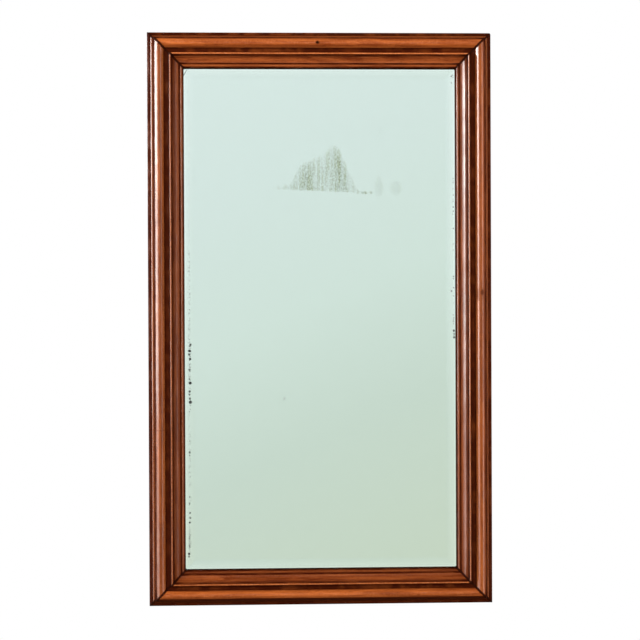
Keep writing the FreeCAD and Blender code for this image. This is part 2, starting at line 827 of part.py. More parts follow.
os.makedirs("parts", exist_ok=True)
for node in nodes:
    node.Shape.exportStep(f"parts/{node.Label}.step")
    print(f"{node.Label}: {len(node.Shape.Solids)} solids, {node.Shape.Volume / 1000:.1f} cm3")
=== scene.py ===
import math

import bmesh
import bpy
from mathutils import Matrix, Vector


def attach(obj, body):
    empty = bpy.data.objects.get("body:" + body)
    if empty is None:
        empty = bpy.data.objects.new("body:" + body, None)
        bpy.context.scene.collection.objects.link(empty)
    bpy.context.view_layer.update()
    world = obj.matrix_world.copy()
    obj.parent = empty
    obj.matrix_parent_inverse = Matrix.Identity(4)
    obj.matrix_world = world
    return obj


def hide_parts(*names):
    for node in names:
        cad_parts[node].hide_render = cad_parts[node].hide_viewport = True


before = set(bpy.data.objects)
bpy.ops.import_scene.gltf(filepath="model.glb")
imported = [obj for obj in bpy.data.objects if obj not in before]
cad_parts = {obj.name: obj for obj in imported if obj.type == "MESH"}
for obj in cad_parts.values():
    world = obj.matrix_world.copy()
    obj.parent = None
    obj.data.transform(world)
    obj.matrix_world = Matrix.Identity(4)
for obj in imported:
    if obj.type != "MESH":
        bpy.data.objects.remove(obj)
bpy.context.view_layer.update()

# A tall wall mirror: two mitred walnut mouldings round a bevelled plate, with a panelled back
# and two hinged hanging rings. Everything is in metres, apart from the tables that say
# millimetres. The front faces -Y.

MM = 0.001
HALF_WIDTH = 387.5 * MM
HALF_HEIGHT = 645 * MM
MITRE_GAP = 0.15 * MM
SAW_WASTE = 60 * MM
WORN_CORNER = 6 * MM
WORN_CORNER_CUTS = (7.5, 22.5, 37.5, 52.5, 67.5, 82.5)
EDGE_SOFTNESS = 0.25 * MM
SHARP_BEHIND = 13 * MM
ARC_STEP_DEGREES = 4
FEWEST_ARC_STEPS = 6
ARC_TOLERANCE = 0.01 * MM
SAME_PLACE = 0.001 * MM

# Each side of the frame is made as the top one, then turned in the plane of the frame:
# the turn in degrees, from the middle to the outer edge, half the length of the piece, and
# the end that meets the worn corner.
SIDES = {
    "top": (0, HALF_HEIGHT, HALF_WIDTH, 1),
    "right": (90, HALF_WIDTH, HALF_HEIGHT, -1),
    "bottom": (180, HALF_HEIGHT, HALF_WIDTH, 0),
    "left": (270, HALF_WIDTH, HALF_HEIGHT, 0),
}

# Sections in millimetres: inwards from the outer edge, then forwards from the back plane.
# A corner with a form and a radius starts an arc that ends at the next corner.
OUTER_SECTION = [
    (0, 0),
    (0, 15.5, "round", 6.5),
    (6.5, 22),
    (7.1, 20.4),
    (7.7, 21.4, "round", 3.7),
    (14.3, 21.4),
    (14.85, 20.4),
    (15.4, 20.4),
    (15.4, 35.5, "round", 12.5),
    (39.9, 39),
    (39.9, 36.5, "hollow", 6.5),
    (50.4, 36.5),
    (50.4, 24),
    (72.2, 24),
    (72.2, 12),
    (59.2, 12),
    (59.2, 0),
]
SLIP_SECTION = [
    (50.4, 24),
    (50.4, 37.5),
    (53, 54, "round", 2.3),
    (57.2, 54),
    (57.2, 49),
    (58.6, 49, "hollow", 14.4),
    (73, 34.6),
    (73, 32.6),
    (74.9, 32.6, "round", 3.1),
    (80.7, 32.6),
    (82.2, 32.6),
    (82.2, 24),
]

scene = bpy.context.scene


# Shaping

def new_object(name, shape):
    """Turn a finished bmesh into an object of the scene."""
    mesh = bpy.data.meshes.new(name)
    bmesh.ops.recalc_face_normals(shape, faces=shape.faces)
    shape.to_mesh(mesh)
    shape.free()
    made = bpy.data.objects.new(name, mesh)
    scene.collection.objects.link(made)
    return made


def new_piece(name, shape, node, body="frame"):
    """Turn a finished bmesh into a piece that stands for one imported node."""
    piece = new_object(name, shape)
    smooth_by_angle(piece.data)
    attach(piece, body)
    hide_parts(node)
    return piece


def smooth_by_angle(mesh, degrees=32):
    mesh.shade_smooth()
    mesh.set_sharp_from_angle(angle=math.radians(degrees))


def only_verts(geometry):
    return [item for item in geometry if isinstance(item, bmesh.types.BMVert)]


def draw_arc(shape, tip, goal, form, radius):
    """Spin the tip of an outline round to the next corner. Returns the new tip."""
    turn = 1 if form == "round" else -1
    chord = goal - tip.co
    sweep = 2 * math.asin(min(1, chord.length / (2 * radius)))
    rise = radius * math.cos(sweep / 2)
    across = Vector((1, 0, 0)).cross(chord).normalized()
    middle = (tip.co + goal) / 2 + across * rise * turn
    steps = max(FEWEST_ARC_STEPS, round(math.degrees(sweep) / ARC_STEP_DEGREES))
    spun = bmesh.ops.spin(shape, geom=[tip], cent=middle, axis=(1, 0, 0), dvec=(0, 0, 0),
                          angle=turn * sweep, steps=steps, use_merge=False,
                          use_normal_flip=False, use_duplicate=False)
    new_tip = only_verts(spun["geom_last"])[0]
    if (new_tip.co - goal).length > ARC_TOLERANCE:
        raise RuntimeError(f"an arc ends {(new_tip.co - goal).length / MM:.3f} mm off")
    return new_tip


def draw_section(shape, corners, start, reach):
    """One flat face, the section of a moulding, standing across its length at start."""
    def place(corner):
        return Vector((start, -corner[1] * MM, reach - corner[0] * MM))

    tip = bmesh.ops.create_vert(shape, co=place(corners[0]))["vert"][0]
    corner_verts = [tip]
    for index, corner in enumerate(corners):
        goal = place(corners[(index + 1) % len(corners)])
        if len(corner) == 2:
            tip = bmesh.ops.extrude_vert_indiv(shape, verts=[tip])["verts"][0]
            tip.co = goal
        else:
            form, radius = corner[2:]
            tip = draw_arc(shape, tip, goal, form, radius * MM)
        corner_verts.append(tip)
    bmesh.ops.remove_doubles(shape, verts=shape.verts, dist=SAME_PLACE)
    bmesh.ops.contextual_create(shape, geom=shape.edges[:])
    softened = [vert for vert in corner_verts if vert.is_valid and vert.co.y < -SHARP_BEHIND]
    bmesh.ops.bevel(shape, geom=softened, offset=EDGE_SOFTNESS, offset_type="OFFSET", segments=2,
                    profile=0.5, affect="VERTICES", material=-1)


def pull_out(shape, move):
    """Extrude a flat face into a solid."""
    grown = bmesh.ops.extrude_face_region(shape, geom=shape.faces[:])["geom"]
    bmesh.ops.translate(shape, vec=move, verts=only_verts(grown))


def turn_round(shape, degrees, axis="Y"):
    turn = Matrix.Rotation(math.radians(degrees), 3, axis)
    bmesh.ops.rotate(shape, cent=(0, 0, 0), matrix=turn, verts=shape.verts)


def cut_off(shape, point, outwards):
    """Saw along a plane, drop what lies outside it and close the cut."""
    everything = shape.verts[:] + shape.edges[:] + shape.faces[:]
    cut = bmesh.ops.bisect_plane(shape, geom=everything, dist=1e-7, plane_co=point,
                                 plane_no=outwards, clear_outer=True)["geom_cut"]
    rim = [item for item in cut if isinstance(item, bmesh.types.BMEdge)]
    bmesh.ops.contextual_create(shape, geom=rim)


def mitred_shape(section, side):
    """A length of moulding with both ends mitred, in its place in the frame."""
    turn, reach, span, worn_end = SIDES[side]
    shape = bmesh.new()
    draw_section(shape, section, -span - SAW_WASTE, reach)
    pull_out(shape, (2 * (span + SAW_WASTE), 0, 0))
    for end in (-1, 1):
        cut_off(shape, (end * (span - MITRE_GAP), 0, reach), (end, 0, -1))
    if worn_end and section is OUTER_SECTION:
        middle = Vector((worn_end * (span - WORN_CORNER), 0, reach - WORN_CORNER))
        for degrees in WORN_CORNER_CUTS:
            angle = math.radians(degrees)
            outwards = Vector((worn_end * math.cos(angle), 0, math.sin(angle)))
            cut_off(shape, middle + outwards * WORN_CORNER, outwards)
    turn_round(shape, turn)
    return shape


def carve(piece, cutters):
    """Take the cutters' shapes out of a piece."""
    for shape in cutters:
        cutter = new_object("cutter", shape)
        carving = piece.modifiers.new("carving", "BOOLEAN")
        carving.solver = "EXACT"
        carving.object = cutter
        bpy.context.view_layer.update()
        carved = bpy.data.meshes.new_from_object(
            piece.evaluated_get(bpy.context.evaluated_depsgraph_get()))
        piece.modifiers.clear()
        piece.data = carved
        bpy.data.objects.remove(cutter)
    smooth_by_angle(piece.data)


# Frame: outer mouldings with key beds, then the slips

KEY_INSET = 29 * MM
# Corners of a key bed in millimetres, along the key and across it
KEY_BED = [(-20, 10), (0, 4.5), (20, 10), (20, -10), (0, -4.5), (-20, -10)]
KEY_BED_DEPTH = 8.1 * MM
KEY_BED_OVERCUT = 1 * MM
WALL_HOLE = (-5 * MM, 0, 615.6 * MM)
WALL_HOLE_RADIUS = 2.5 * MM
WALL_HOLE_CUTTER_LENGTH = 120 * MM
CORNERS_OF_SIDE = {
    "top": ((-1, 1), (1, 1)),
    "right": ((1, 1), (1, -1)),
    "bottom": ((-1, -1), (1, -1)),
    "left": ((-1, 1), (-1, -1)),
}


def key_bed_shape(across, up):
    """The double dovetail that is cut across one mitre from behind."""
    shape = bmesh.new()
    corners = [bmesh.ops.create_vert(shape, co=(x * MM, KEY_BED_OVERCUT, z * MM))["vert"][0]
               for x, z in KEY_BED]
    bmesh.ops.contextual_create(shape, geom=corners)
    pull_out(shape, (0, -KEY_BED_OVERCUT - KEY_BED_DEPTH, 0))
    turn_round(shape, 45 if across * up > 0 else -45)
    bmesh.ops.translate(shape, vec=(across * (HALF_WIDTH - KEY_INSET), 0,
                                    up * (HALF_HEIGHT - KEY_INSET)), verts=shape.verts)
    return shape


def wall_hole_shape():
    shape = bmesh.new()
    bmesh.ops.create_cone(shape, cap_ends=True, segments=48, radius1=WALL_HOLE_RADIUS,
                          radius2=WALL_HOLE_RADIUS, depth=WALL_HOLE_CUTTER_LENGTH)
    turn_round(shape, 90, "X")
    bmesh.ops.translate(shape, vec=WALL_HOLE, verts=shape.verts)
    return shape


outer_lengths = {}
slip_lengths = {}
for side in SIDES:
    outer = new_piece(f"outer_length_{side}", mitred_shape(OUTER_SECTION, side),
                      f"moulding_{side}")
    cutters = [key_bed_shape(across, up) for across, up in CORNERS_OF_SIDE[side]]
    if side == "top":
        cutters.append(wall_hole_shape())
    carve(outer, cutters)
    outer_lengths[side] = outer
    slip_lengths[side] = new_piece(f"slip_length_{side}", mitred_shape(SLIP_SECTION, side),
                                   f"slip_{side}")


# Plate: polished, with a ground bevel. A hair of space is left before the silver.

PLATE_BACK = -20.39 * MM
PLATE_EDGE_THICKNESS = 2.98 * MM
PLATE_HALF_WIDTH = 313.3 * MM
PLATE_HALF_HEIGHT = 570.8 * MM
BEVEL_WIDTH = 30 * MM
BEVEL_DROP = 2 * MM
ARRIS_WIDTH = 0.5 * MM


def plate_shape():
    shape = bmesh.new()
    bmesh.ops.create_cube(shape, size=2)
    bmesh.ops.scale(shape, vec=(PLATE_HALF_WIDTH, PLATE_EDGE_THICKNESS / 2, PLATE_HALF_HEIGHT),
                    verts=shape.verts)
    bmesh.ops.translate(shape, vec=(0, PLATE_BACK - PLATE_EDGE_THICKNESS / 2, 0),
                        verts=shape.verts)
    front = min(shape.faces, key=lambda face: face.calc_center_median().y)
    bmesh.ops.inset_region(shape, faces=[front], thickness=BEVEL_WIDTH, depth=BEVEL_DROP,
                           use_even_offset=True)
    bmesh.ops.bevel(shape, geom=front.edges[:], offset=ARRIS_WIDTH, offset_type="OFFSET",
                    segments=3, profile=0.5, affect="EDGES", material=-1)
    return shape


plate = new_piece("bevelled_plate", plate_shape(), "mirror_glass")
# Its faces stay flat up to their arrises, however shallow those are
plate.data.set_sharp_from_angle(angle=math.radians(1))


# Ways of making materials

def feed(tree, socket, value):
    if isinstance(value, bpy.types.NodeSocket):
        tree.links.new(value, socket)
    else:
        socket.default_value = value


def feed_all(tree, node, inputs):
    for name, value in inputs.items():
        feed(tree, node.inputs[name], value)


def add(tree, kind, inputs=None, **settings):
    """One node, with its settings and with values or links for its inputs."""
    made = tree.nodes.new(kind)
    for name, value in settings.items():
        setattr(made, name, value)
    feed_all(tree, made, inputs or {})
    return made


def maths(tree, operation, first, second=0.5, clamp=False):
    return add(tree, "ShaderNodeMath", {0: first, 1: second}, operation=operation,
               use_clamp=clamp).outputs[0]


def joined(tree, operation, values, clamp=False):
    """All the values taken together by one operation, from the first to the last."""
    result = values[0]
    for value in values[1:]:
        result = maths(tree, operation, result, value, clamp)
    return result


def total(tree, *parts, clamp=False):
    return joined(tree, "ADD", parts, clamp)


def times(tree, *factors, clamp=False):
    return joined(tree, "MULTIPLY", factors, clamp)


def highest(tree, *values):
    return joined(tree, "MAXIMUM", values)


def less(tree, first, second, clamp=False):
    return maths(tree, "SUBTRACT", first, second, clamp)


def absolute(tree, value):
    return maths(tree, "ABSOLUTE", value)


def spread(tree, value, low, high, to_low=0, to_high=1, smooth=True):
    """Stretch low..high to to_low..to_high, with nothing outside it."""
    made = add(tree, "ShaderNodeMapRange", {"Value": value, "From Min": low, "From Max": high,
                                            "To Min": to_low, "To Max": to_high}, clamp=True)
    made.interpolation_type = "SMOOTHSTEP" if smooth else "LINEAR"
    return made.outputs["Result"]


def tint(tree, amount, first, second):
    """Mix from the first colour to the second."""
    return add(tree, "ShaderNodeMix", {0: amount, 6: first, 7: second}, data_type="RGBA",
               blend_type="MIX").outputs[2]


def noise(tree, vector, scale, detail=3, roughness=0.55):
    return add(tree, "ShaderNodeTexNoise", {
        "Vector": vector, "Scale": scale, "Detail": detail, "Roughness": roughness,
        "Distortion": 0}, noise_dimensions="3D").outputs["Fac"]


def stretched(tree, vector, factors=(1, 1, 1), shift=(0, 0, 0), turn=(0, 0, 0)):
    return add(tree, "ShaderNodeMapping", {"Vector": vector, "Scale": factors, "Location": shift,
                                           "Rotation": turn}).outputs["Vector"]


def split(tree, vector):
    return add(tree, "ShaderNodeSeparateXYZ", {"Vector": vector}).outputs


def object_place(tree):
    return add(tree, "ShaderNodeTexCoord").outputs["Object"]


def facing_back(tree):
    """1 on the faces that look towards the wall."""
    normal = add(tree, "ShaderNodeNewGeometry").outputs["Normal"]
    return spread(tree, split(tree, normal)[1], 0.7, 0.9)


def bumped(tree, height, strength, depth):
    return add(tree, "ShaderNodeBump", {"Height": height, "Strength": strength,
                                        "Distance": depth}).outputs["Normal"]


def grey(level):
    return (level, level, level, 1)


def toned(colour, amount):
    return tuple(part * amount for part in colour[:3]) + (1,)


def group(name, inputs, outputs):
    """A node group with named sockets. Returns its tree, what comes in and its output node."""
    tree = bpy.data.node_groups.new(name, "ShaderNodeTree")
    kinds = {"value": "NodeSocketFloat", "colour": "NodeSocketColor", "vector": "NodeSocketVector"}
    for label, kind in inputs.items():
        tree.interface.new_socket(name=label, in_out="INPUT", socket_type=kinds[kind])
    for label, kind in outputs.items():
        tree.interface.new_socket(name=label, in_out="OUTPUT", socket_type=kinds[kind])
    return tree, tree.nodes.new("NodeGroupInput").outputs, tree.nodes.new("NodeGroupOutput")


def place_group(tree, shared, inputs):
    return add(tree, "ShaderNodeGroup", inputs, node_tree=shared).outputs


def new_finish(name):
    """An empty material. Returns the material, its tree and its shader."""
    finish = bpy.data.materials.new(name)
    finish.use_nodes = True
    tree = finish.node_tree
    return finish, tree, tree.nodes["Principled BSDF"]


def finish_with(piece, finish):
    piece.data.materials.clear()
    piece.data.materials.append(finish)


def finish_node(name, finish):
    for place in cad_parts[name].material_slots:
        place.material = finish


# Shared effects

PORE_DARK = (0.012, 0.005, 0.003, 1)
RUST_BROWN = (0.085, 0.038, 0.018, 1)
MOULDING_WIDTH = 82.5
# Dirt with painted shade, and wear with painted highlights, across both mouldings: millimetres
# in from the outer edge, then how much
# Painted shade: besides dirt, the high levels in the quirks, the cove and at the sight edge darken
# where shade falls
DIRT_AND_SHADE_BANDS = (
    (0.05, 0.35), (1.2, 0.95), (6.6, 1.0), (7.5, 0.95), (8.6, 0.6), (10.0, 0.0), (13.2, 0.1),
    (14.4, 0.9), (15.6, 1.0), (17.6, 0.9), (20.0, 0.65), (21.8, 0.2), (23.5, 0.03), (37.6, 0.0),
    (39.2, 0.25), (39.9, 1.0), (50.3, 1.0), (53.0, 0.95), (54.2, 0.35), (55.2, 0.05),
    (56.6, 0.1), (57.3, 1.0), (58.4, 0.85), (59.8, 0.25), (64.0, 0.2), (66.5, 0.3),
    (71.0, 0.25), (72.8, 1.0), (75.0, 1.0), (76.0, 0.15), (79.8, 0.2), (80.6, 1.0),
)
# Painted highlight: the wear on the small bead, rising to 13.2 mm, widens the highlight there
WEAR_AND_HIGHLIGHT_BANDS = (
    (8.2, 0.0), (9.2, 0.3), (11.5, 0.4), (13.2, 0.75), (14.2, 0.0), (20.0, 0.0), (24.5, 0.35),
    (31.0, 0.3), (34.5, 0.1), (39.2, 0.0), (53.4, 0.0), (54.4, 0.9), (56.2, 0.9), (57.2, 0.0),
    (64.0, 0.0), (69.0, 0.2), (72.0, 0.2), (72.8, 0.0), (75.8, 0.0), (77.5, 0.28),
    (79.8, 0.15), (80.5, 0.0),
)
# Rubbed polish with a painted highlight on the inner flank of the torus, fainter where there is
# more soot and shade: where it begins and ends
RUB_AND_HIGHLIGHT_FROM = (34.5 * MM, 37.5 * MM)
RUB_AND_HIGHLIGHT_TO = (39.2 * MM, 39.9 * MM)
# Soot, which on the bottom is painted shade: its soft start at the outer edge, the width that it
# always has, what it gains on the darkest side, its soft end, and where it begins again on the
# inner bead
SOOT_AND_SHADE_START = 1.2 * MM
SOOT_AND_SHADE_WIDTH = 7.5 * MM
SOOT_AND_SHADE_GAIN = 15.5 * MM
SOOT_AND_SHADE_END = 2.5 * MM
SOOT_AND_SHADE_BEAD = (74.5 * MM, 75.5 * MM)
# Dirt at the mitres: the wide shade beside a joint and the line along it
CORNER_SHADE = (0.5 * MM, 22 * MM)
JOINT_LINE = (2.4 * MM, 5.4 * MM)
JOINT_RAGGEDNESS = 0.8 * MM


def grain_group():
    """Wood with its length along X: slow figure, fine streaks and short dark pores."""
    tree, given, result = group(
        "wood_grain",
        {"Place": "vector", "Pale": "colour", "Dark": "colour", "Figure": "value",
         "Streak": "value", "Pores": "value"},
        {"Colour": "colour", "Height": "value", "Shade": "value"})
    place = given["Place"]
    sway = noise(tree, stretched(tree, place, (3, 9, 9)), 1, 2)
    bend = add(tree, "ShaderNodeCombineXYZ", {"Y": times(tree, sway, 35 * MM),
                                              "Z": times(tree, sway, 50 * MM)}).outputs[0]
    drift = add(tree, "ShaderNodeVectorMath", {0: place, 1: bend}, operation="ADD").outputs[0]

    def drawn_out(along, across, detail, roughness):
        """Noise that changes slowly along the grain and fast across it."""
        return noise(tree, stretched(tree, drift, (along, across, across)), 1, detail, roughness)

    figure = drawn_out(5, 105, 3, 0.5)
    streak = drawn_out(9, 620, 4, 0.6)
    fibre = drawn_out(26, 1900, 2, 0.6)
    pore = spread(tree, drawn_out(95, 1500, 1, 0.4), 0.62, 0.72)
    shade = total(tree, times(tree, spread(tree, figure, 0.3, 0.7), given["Figure"]),
                  times(tree, spread(tree, streak, 0.28, 0.72), given["Streak"]))
    shade = total(tree, shade, times(tree, less(tree, fibre, 0.5), 0.25), clamp=True)
    pitted = times(tree, pore, given["Pores"])
    colour = tint(tree, shade, given["Pale"], given["Dark"])
    feed_all(tree, result, {"Colour": tint(tree, pitted, colour, PORE_DARK),
                            "Height": less(tree, times(tree, fibre, 0.4), pitted),
                            "Shade": shade})
    return tree


def soil_and_light_group():
    """Where dirt settles and where polish wears on the frame, read across the moulding, with
    painted shade in the quirks and the cove and painted highlights on the small bead and the
    torus.
    """
    tree, given, result = group(
        "moulding_soil_and_light",
        {"Place": "vector", "Reach": "value", "Span": "value", "Soot and shade": "value"},
        {"Dirt and shade": "value", "Wear and highlight": "value", "Mitre": "value", "Inwards": "value",
         "Along": "value"})
    place, soot_and_shade = given["Place"], given["Soot and shade"]
    along, _, up = split(tree, place)
    inwards = less(tree, given["Reach"], up)
    to_mitre = absolute(tree, less(tree, less(tree, given["Span"], inwards),
                                   absolute(tree, along)))
    share = maths(tree, "DIVIDE", inwards, MOULDING_WIDTH * MM)

    def bands(stops):
        ramp = add(tree, "ShaderNodeValToRGB", {"Fac": share})
        elements = ramp.color_ramp.elements
        for element, (width, level) in zip(elements, (stops[0], stops[-1])):
            element.position = width / MOULDING_WIDTH
            element.color = grey(level)
        for width, level in stops[1:-1]:
            elements.new(width / MOULDING_WIDTH).color = grey(level)
        return ramp.outputs["Color"]

    def at_least_half(value):
        return total(tree, times(tree, value, 0.5), 0.5)

    patches = spread(tree, noise(tree, place, 26, 4), 0.34, 0.66)
    flecks = spread(tree, noise(tree, place, 260, 3), 0.4, 0.7)
    corner = spread(tree, to_mitre, *CORNER_SHADE, 1, 0)
    joint = spread(tree, total(tree, to_mitre, times(tree, flecks, JOINT_RAGGEDNESS)),
                   *JOINT_LINE, 1, 0)
    # The dirt bands carry painted shade too, in the quirks, the cove and at the sight edge
    dirt_and_shade = times(tree, bands(DIRT_AND_SHADE_BANDS), total(tree, times(tree, corner, 0.6), 0.8,
                                                times(tree, patches, 0.3)), clamp=True)
    # Soot on the outer part; on the bottom it is painted shade on the flanks that face down
    soot_and_shade_end = total(tree, times(tree, soot_and_shade, SOOT_AND_SHADE_GAIN), SOOT_AND_SHADE_WIDTH)
    shoulder = times(tree, spread(tree, inwards, 0, SOOT_AND_SHADE_START), spread(
        tree, inwards, soot_and_shade_end, total(tree, soot_and_shade_end, SOOT_AND_SHADE_END), 1, 0))
    inner_soot_and_shade = times(tree, maths(tree, "POWER", soot_and_shade, 2), 0.6)
    dirt_and_shade = highest(tree, dirt_and_shade, times(tree, joint, 0.95), times(tree, shoulder, soot_and_shade),
                   times(tree, inner_soot_and_shade, spread(tree, inwards, *SOOT_AND_SHADE_BEAD)))

    # Rubbed polish with a painted highlight along the inner flank of the torus
    rubbed_and_painted_highlight = times(tree, spread(tree, inwards, *RUB_AND_HIGHLIGHT_TO, 1, 0), less(tree, 1, soot_and_shade),
                   spread(tree, inwards, *RUB_AND_HIGHLIGHT_FROM))
    wear_and_highlight = times(tree, at_least_half(patches), at_least_half(flecks),
                 highest(tree, bands(WEAR_AND_HIGHLIGHT_BANDS), rubbed_and_painted_highlight))
    feed_all(tree, result, {"Dirt and shade": dirt_and_shade, "Wear and highlight": wear_and_highlight, "Mitre": joint, "Inwards": inwards,
                            "Along": along})
    return tree


def oval_group():
    """A soft oval mark: 1 in the middle, one half at its two half sizes, then down to 0."""
    tree, given, result = group(
        "oval_mark",
        {"Across": "value", "Up": "value", "Middle across": "value", "Middle up": "value",
         "Half width": "value", "Half height": "value", "Softness": "value"},
        {"Mark": "value"})

    def offset(place, middle, size):
        share = maths(tree, "DIVIDE", less(tree, given[place], given[middle]), given[size])
        return maths(tree, "POWER", absolute(tree, share), 2)

    reach = maths(tree, "SQRT", total(tree, offset("Across", "Middle across", "Half width"),
                                      offset("Up", "Middle up", "Half height")))
    inner = less(tree, 1, given["Softness"])
    outer = total(tree, 1, given["Softness"])
    feed_all(tree, result, {"Mark": spread(tree, reach, inner, outer, 1, 0)})
    return tree


def rust_group():
    """Brown bloom and dark pits on old steel."""
    tree, given, result = group(
        "steel_bloom", {"Place": "vector", "Clean": "colour", "Amount": "value"},
        {"Colour": "colour", "Bloom": "value", "Height": "value"})
    cloud = noise(tree, given["Place"], 240, 4, 0.6)
    grit = noise(tree, given["Place"], 1500, 3, 0.6)
    blotches = total(tree, times(tree, cloud, 0.7), times(tree, grit, 0.3))
    bloom = times(tree, spread(tree, blotches, 0.42, 0.62), given["Amount"])
    feed_all(tree, result, {"Colour": tint(tree, bloom, given["Clean"], RUST_BROWN),
                            "Bloom": bloom, "Height": times(tree, grit, bloom)})
    return tree


wood_grain = grain_group()
moulding_soil_and_light = soil_and_light_group()
oval_mark = oval_group()
steel_bloom = rust_group()


def oval(tree, across, up, middle_across, middle_up, half_width, half_height, softness):
    """An oval mark, with its place and its sizes in millimetres."""
    return place_group(tree, oval_mark, {
        "Across": across, "Up": up, "Middle across": middle_across * MM,
        "Middle up": middle_up * MM, "Half width": half_width * MM,
        "Half height": half_height * MM, "Softness": softness})["Mark"]


# Finishes of the frame

WALNUT_PALE = (0.46, 0.112, 0.021, 1)
WALNUT_DARK = (0.15, 0.024, 0.0035, 1)
WALNUT_RAW = (0.30, 0.165, 0.085, 1)
WALNUT_RAW_DARK = (0.15, 0.075, 0.038, 1)
SLIP_PALE = (0.36, 0.088, 0.020, 1)
SLIP_DARK = (0.12, 0.020, 0.004, 1)
# Dirt, also used as painted shade in the quirks, the cove, the sight edge and along flanks that
# face down
OLD_DIRT_AND_SHADE = (0.045, 0.0068, 0.0018, 1)
JOINT_DIRT = (0.010, 0.003, 0.0015, 1)
# Worn polish, also used as painted highlights on the small bead and the inner flank of the torus
WORN_POLISH_AND_HIGHLIGHT = (0.62, 0.19, 0.058, 1)

# Marks on a side, in millimetres: along it, inwards, their two half sizes and how dark they
# are. The longest ones darken a whole flank; on the top and the bottom they are painted shade
# on the flank of the torus that faces down.
SIDE_MARKS_AND_SHADE = {
    "top": ((-5, 29.4, 4.2, 4.2, 0.8), (0, 37.5, 1200, 4.5, 0.4)),
    "right": ((-58, 26, 7, 4, 0.75), (-55, 27, 15, 20, 0.3), (-60, 29.5, 560, 2.6, 0.3)),
    "bottom": ((-216, 26, 5, 2.5, 0.5), (0, 24.5, 1200, 3, 0.38)),
    "left": ((-247, 29, 0.7, 16, 0.5), (0, 32, 620, 2.6, 0.25)),
}
# How dark the outer part of each side is: soot, and on the bottom painted shade where the flanks
# face down
SOOT_AND_SHADE = {"top": 0.72, "right": 0.45, "bottom": 0.93, "left": 0.0}
# How much polish each side has kept, on the outer moulding and on the slip
GLOSS = {"top": (0.7, 0.5), "right": (1.0, 1.0), "bottom": (0.7, 0.5), "left": (1.0, 0.75)}
# How pale the wood of each side is, against the others
BOARD_TONE = {"top": 1.32, "right": 0.88, "bottom": 1.1, "left": 0.75}
# Where in the grain each side is cut, and how much further on its slip is
GRAIN_SHIFTS = {"top": (0.3, 0.1, 0.7), "right": (1.7, 0.5, 0.2), "bottom": (3.1, 0.9, 1.3),
                "left": (4.6, 1.4, 0.9)}
SLIP_GRAIN_SHIFT = 7.3


def walnut_finish(name, side, pale, dark, shift, gloss, marks_and_shade=()):
    """Polished walnut on one side of the frame: soiled in the quirks, with painted shade there and
    along the flanks that face down, worn on the crests, with painted highlights on the small bead
    and the torus, and bare behind."""
    turn, reach, span, _ = SIDES[side]
    finish, tree, shader = new_finish(name)
    place = stretched(tree, object_place(tree), turn=(0, -math.radians(turn), 0))
    tone = BOARD_TONE[side]
    soil_and_light = place_group(tree, moulding_soil_and_light, {"Place": place, "Reach": reach, "Span": span,
                                              "Soot and shade": SOOT_AND_SHADE[side]})
    grain = place_group(tree, wood_grain, {
        "Place": stretched(tree, place, shift=shift), "Pale": toned(pale, tone),
        "Dark": toned(dark, tone), "Figure": 0.68, "Streak": 0.5, "Pores": 0.5})
    dirt_and_shade = soil_and_light["Dirt and shade"]
    # Marks on this side; the longest ones on the top and the bottom are painted shade
    for *sizes, level in marks_and_shade:
        mark = oval(tree, soil_and_light["Along"], soil_and_light["Inwards"], *sizes, 0.5)
        dirt_and_shade = highest(tree, dirt_and_shade, times(tree, mark, level))
    bare = facing_back(tree)
    colour = tint(tree, soil_and_light["Wear and highlight"], grain["Colour"], toned(WORN_POLISH_AND_HIGHLIGHT, tone))
    colour = tint(tree, dirt_and_shade, colour, OLD_DIRT_AND_SHADE)
    colour = tint(tree, times(tree, soil_and_light["Mitre"], 0.55), colour, JOINT_DIRT)
    colour = tint(tree, bare, colour, tint(tree, grain["Shade"], WALNUT_RAW, WALNUT_RAW_DARK))
    cloud = spread(tree, noise(tree, place, 45, 3), 0.35, 0.65)
    roughness = spread(tree, total(tree, times(tree, cloud, 0.3), dirt_and_shade), 0, 1.2, 0.42, 0.85)
    clean = maths(tree, "POWER", less(tree, 1, dirt_and_shade, clamp=True), 2)
    polished = times(tree, clean, less(tree, 1, bare),
                     total(tree, 0.75 * gloss, times(tree, cloud, 0.25 * gloss)))
    waves = noise(tree, stretched(tree, place, (20, 90, 90)), 1, 2)
    height = total(tree, times(tree, grain["Height"], 0.5), times(tree, waves, 0.9))
    uneven = bumped(tree, height, 0.25, 0.4 * MM)
    feed_all(tree, shader, {
        "Base Color": colour, "Roughness": highest(tree, roughness, times(tree, bare, 0.75)),
        "Normal": uneven, "Coat Weight": polished, "Coat Normal": uneven,
        "Specular IOR Level": 0.02, "Coat Roughness": 0.16})
    return finish


for side in SIDES:
    outer_gloss, slip_gloss = GLOSS[side]
    outer_shift = GRAIN_SHIFTS[side]
    slip_shift = tuple(amount + SLIP_GRAIN_SHIFT for amount in outer_shift)
    finish_with(outer_lengths[side], walnut_finish(
        f"walnut_{side}", side, WALNUT_PALE, WALNUT_DARK, outer_shift, outer_gloss,
        SIDE_MARKS_AND_SHADE[side]))
    finish_with(slip_lengths[side], walnut_finish(
        f"slip_walnut_{side}", side, SLIP_PALE, SLIP_DARK, slip_shift, slip_gloss))


# Finishes of the plate

SIGHT_HALF_WIDTH = 305.3 * MM
SIGHT_HALF_HEIGHT = 562.8 * MM
SILVER = (0.850, 0.893, 0.874, 1)
SILVER_VEILED = (0.76, 0.82, 0.75, 1)
# Painted reflection under the ground bevel near the sight edge
SILVER_EDGE_REFLECTION = (0.985, 1.0, 0.99, 1)
STAIN_GREY = (0.45, 0.49, 0.41, 1)
STAIN_GREEN = (0.50, 0.53, 0.36, 1)
FOXED = (0.006, 0.006, 0.005, 1)
BACKING_PAINT = (0.10, 0.055, 0.04, 1)

